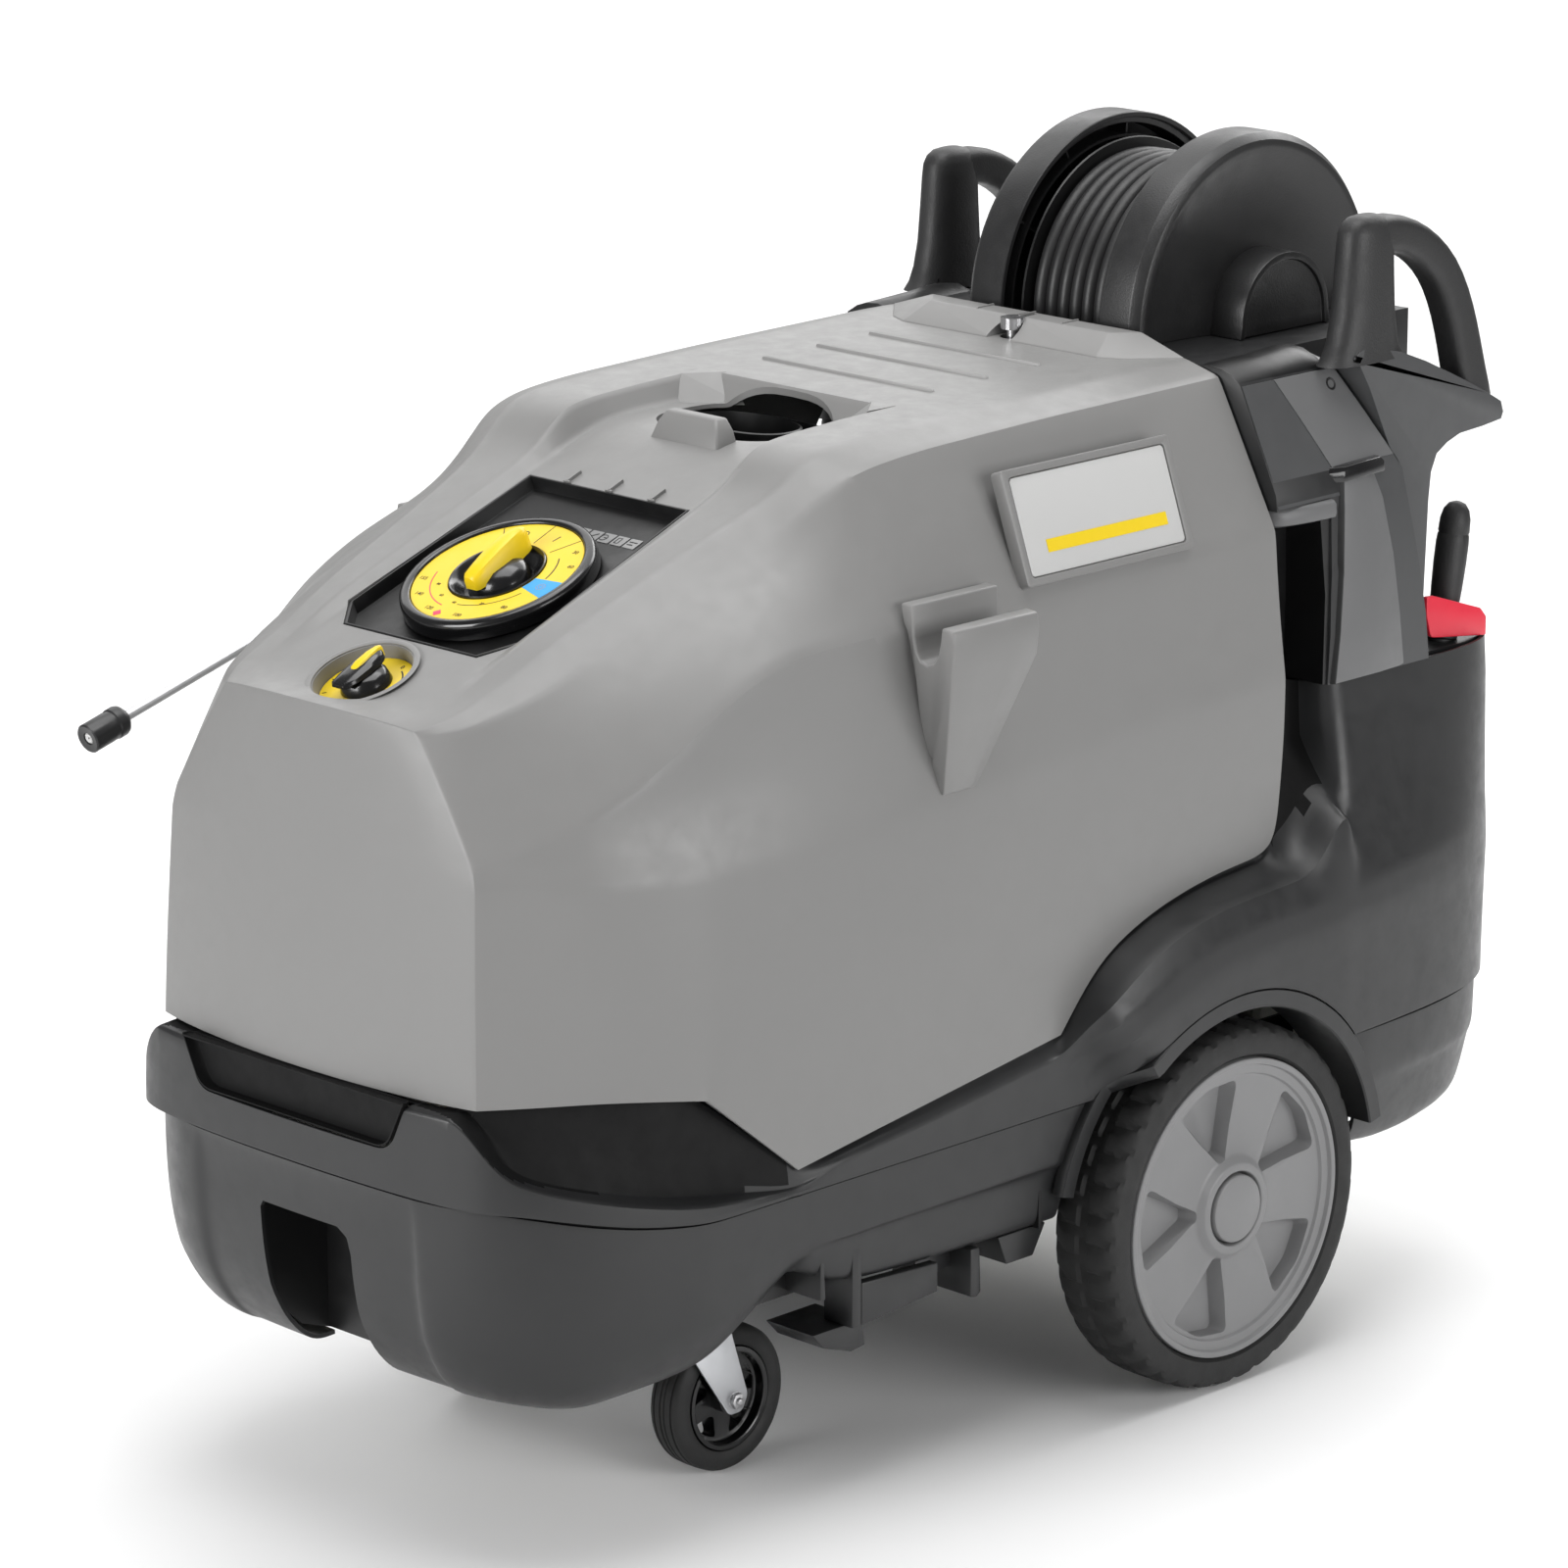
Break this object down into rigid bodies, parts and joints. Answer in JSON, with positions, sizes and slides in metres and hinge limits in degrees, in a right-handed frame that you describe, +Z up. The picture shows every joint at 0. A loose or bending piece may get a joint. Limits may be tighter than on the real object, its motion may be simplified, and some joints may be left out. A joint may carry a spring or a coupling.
{
  "type": "pressure washer",
  "caption": "Wheeled hot-water high-pressure cleaner with tilting hood, dials, hose reel, rear wheels, swivel casters, lance and trigger gun.",
  "frame": {"origin": "centre of the bounding box at floor level", "axes": "+Z up, -Y to the front with the control panel, +X to the left of an operator standing behind the machine"},
  "size_m": [0.736, 1.336, 1.1411],
  "materials": {
    "hood_grey_plastic": "satin moulded",
    "dark_grey_plastic": "fine-grained moulded",
    "black_plastic": "grained moulded",
    "black_rubber": "matt",
    "light_grey_plastic": "satin moulded",
    "yellow_plastic": "satin",
    "red_plastic": "satin",
    "white_plate": "satin film",
    "steel": "stainless",
    "zinc_plated_steel": "zinc plated",
    "cast_aluminium": "as cast",
    "painted_steel": "powder coat",
    "tank_plastic": "natural polyethylene",
    "brass": "machined"
  },
  "bodies": {
    "machine": {"chassis_tray": "dark_grey_plastic", "body_shell": "dark_grey_plastic", "rear_body": "dark_grey_plastic", "handle_left": "black_plastic", "handle_right": "black_plastic", "reel_cover_left": "black_plastic", "reel_cover_right": "black_plastic", "reel_shaft": "steel", "rear_axle": "steel", "axle_carrier": "painted_steel", "caster_plate_left": "zinc_plated_steel", "caster_plate_right": "zinc_plated_steel", "motor": "cast_aluminium", "pump": "brass", "boiler": "cast_aluminium", "burner_fan": "painted_steel", "fuel_tank": "tank_plastic", "water_tank": "tank_plastic", "control_box": "painted_steel", "control_post": "painted_steel"},
    "hood": {"hood": "hood_grey_plastic", "control_panel": "black_plastic", "dial_bezel": "black_plastic", "dial_scale": "yellow_plastic", "pressure_plate": "yellow_plastic", "filler_cup": "black_plastic", "badge_left": "white_plate", "badge_right": "white_plate", "lance_rest_left": "hood_grey_plastic", "lance_rest_right": "hood_grey_plastic"},
    "selector": {"main_knob": "black_plastic", "main_pointer": "yellow_plastic"},
    "pressure_control": {"pressure_knob": "black_plastic", "pressure_pointer": "yellow_plastic"},
    "lock_screw": {"hood_lock": "steel"},
    "reel": {"reel_drum": "black_plastic", "hose_winding": "black_rubber"},
    "lance": {"lance_tube": "steel", "lance_connector": "brass"},
    "nozzle": {"lance_nozzle": "dark_grey_plastic"},
    "gun": {"gun_body": "black_plastic"},
    "trigger": {"gun_trigger": "red_plastic"},
    "wheel_left": {"tyre_left": "black_rubber", "rim_left": "light_grey_plastic", "hub_cap_left": "light_grey_plastic"},
    "caster_left": {"caster_fork_left": "zinc_plated_steel", "caster_bolt_left": "steel"},
    "caster_wheel_left": {"caster_tyre_left": "black_rubber", "caster_rim_left": "black_plastic"},
    "wheel_right": {"tyre_right": "black_rubber", "rim_right": "light_grey_plastic", "hub_cap_right": "light_grey_plastic"},
    "caster_right": {"caster_fork_right": "zinc_plated_steel", "caster_bolt_right": "steel"},
    "caster_wheel_right": {"caster_tyre_right": "black_rubber", "caster_rim_right": "black_plastic"}
  },
  "joints": [
    {"name": "hood_tilt", "type": "hinge", "parent": "machine", "child": "hood", "pos_m": [0, -0.668, 0.432], "axis": [1, 0, 0], "range_deg": [0, 55]},
    {"name": "selector_turn", "type": "hinge", "parent": "hood", "child": "selector", "pos_m": [0, -0.41091, 0.8407], "axis": [0, -0.3622, 0.9321], "range_deg": [-150, 120]},
    {"name": "pressure_turn", "type": "hinge", "parent": "hood", "child": "pressure_control", "pos_m": [0, -0.573, 0.778], "axis": [0, -0.3622, 0.9321], "range_deg": [-135, 135]},
    {"name": "lock_turn", "type": "hinge", "parent": "hood", "child": "lock_screw", "pos_m": [0, 0.262, 0.96], "axis": [0, 0, 1], "range_deg": [0, 90]},
    {"name": "reel_spin", "type": "hinge", "parent": "machine", "child": "reel", "pos_m": [0, 0.49, 0.965], "axis": [1, 0, 0], "continuous": true},
    {"name": "lance_lift", "type": "slide", "parent": "hood", "child": "lance", "axis": [0, 0, 1], "range_m": [0, 0.1]},
    {"name": "nozzle_turn", "type": "hinge", "parent": "lance", "child": "nozzle", "pos_m": [-0.335, -0.615, 0.662], "axis": [0, 0.962, 0.2732], "range_deg": [-90, 90]},
    {"name": "gun_pull", "type": "slide", "parent": "machine", "child": "gun", "axis": [0, 1, 0], "range_m": [0, 0.12]},
    {"name": "trigger_pull", "type": "hinge", "parent": "gun", "child": "trigger", "pos_m": [0.288, 0.56, 0.682], "axis": [1, 0, 0], "range_deg": [0, 8], "stiffness_Nm_per_rad": 2},
    {"name": "wheel_spin_left", "type": "hinge", "parent": "machine", "child": "wheel_left", "pos_m": [0.313, 0.205, 0.178], "axis": [1, 0, 0], "continuous": true},
    {"name": "caster_swivel_left", "type": "hinge", "parent": "machine", "child": "caster_left", "pos_m": [0.15, -0.33, 0.15], "axis": [0, 0, 1], "continuous": true},
    {"name": "caster_spin_left", "type": "hinge", "parent": "caster_left", "child": "caster_wheel_left", "pos_m": [0.15, -0.288, 0.07], "axis": [1, 0, 0], "continuous": true},
    {"name": "wheel_spin_right", "type": "hinge", "parent": "machine", "child": "wheel_right", "pos_m": [-0.313, 0.205, 0.178], "axis": [1, 0, 0], "continuous": true},
    {"name": "caster_swivel_right", "type": "hinge", "parent": "machine", "child": "caster_right", "pos_m": [-0.15, -0.33, 0.15], "axis": [0, 0, 1], "continuous": true},
    {"name": "caster_spin_right", "type": "hinge", "parent": "caster_right", "child": "caster_wheel_right", "pos_m": [-0.15, -0.288, 0.07], "axis": [1, 0, 0], "continuous": true}
  ]
}
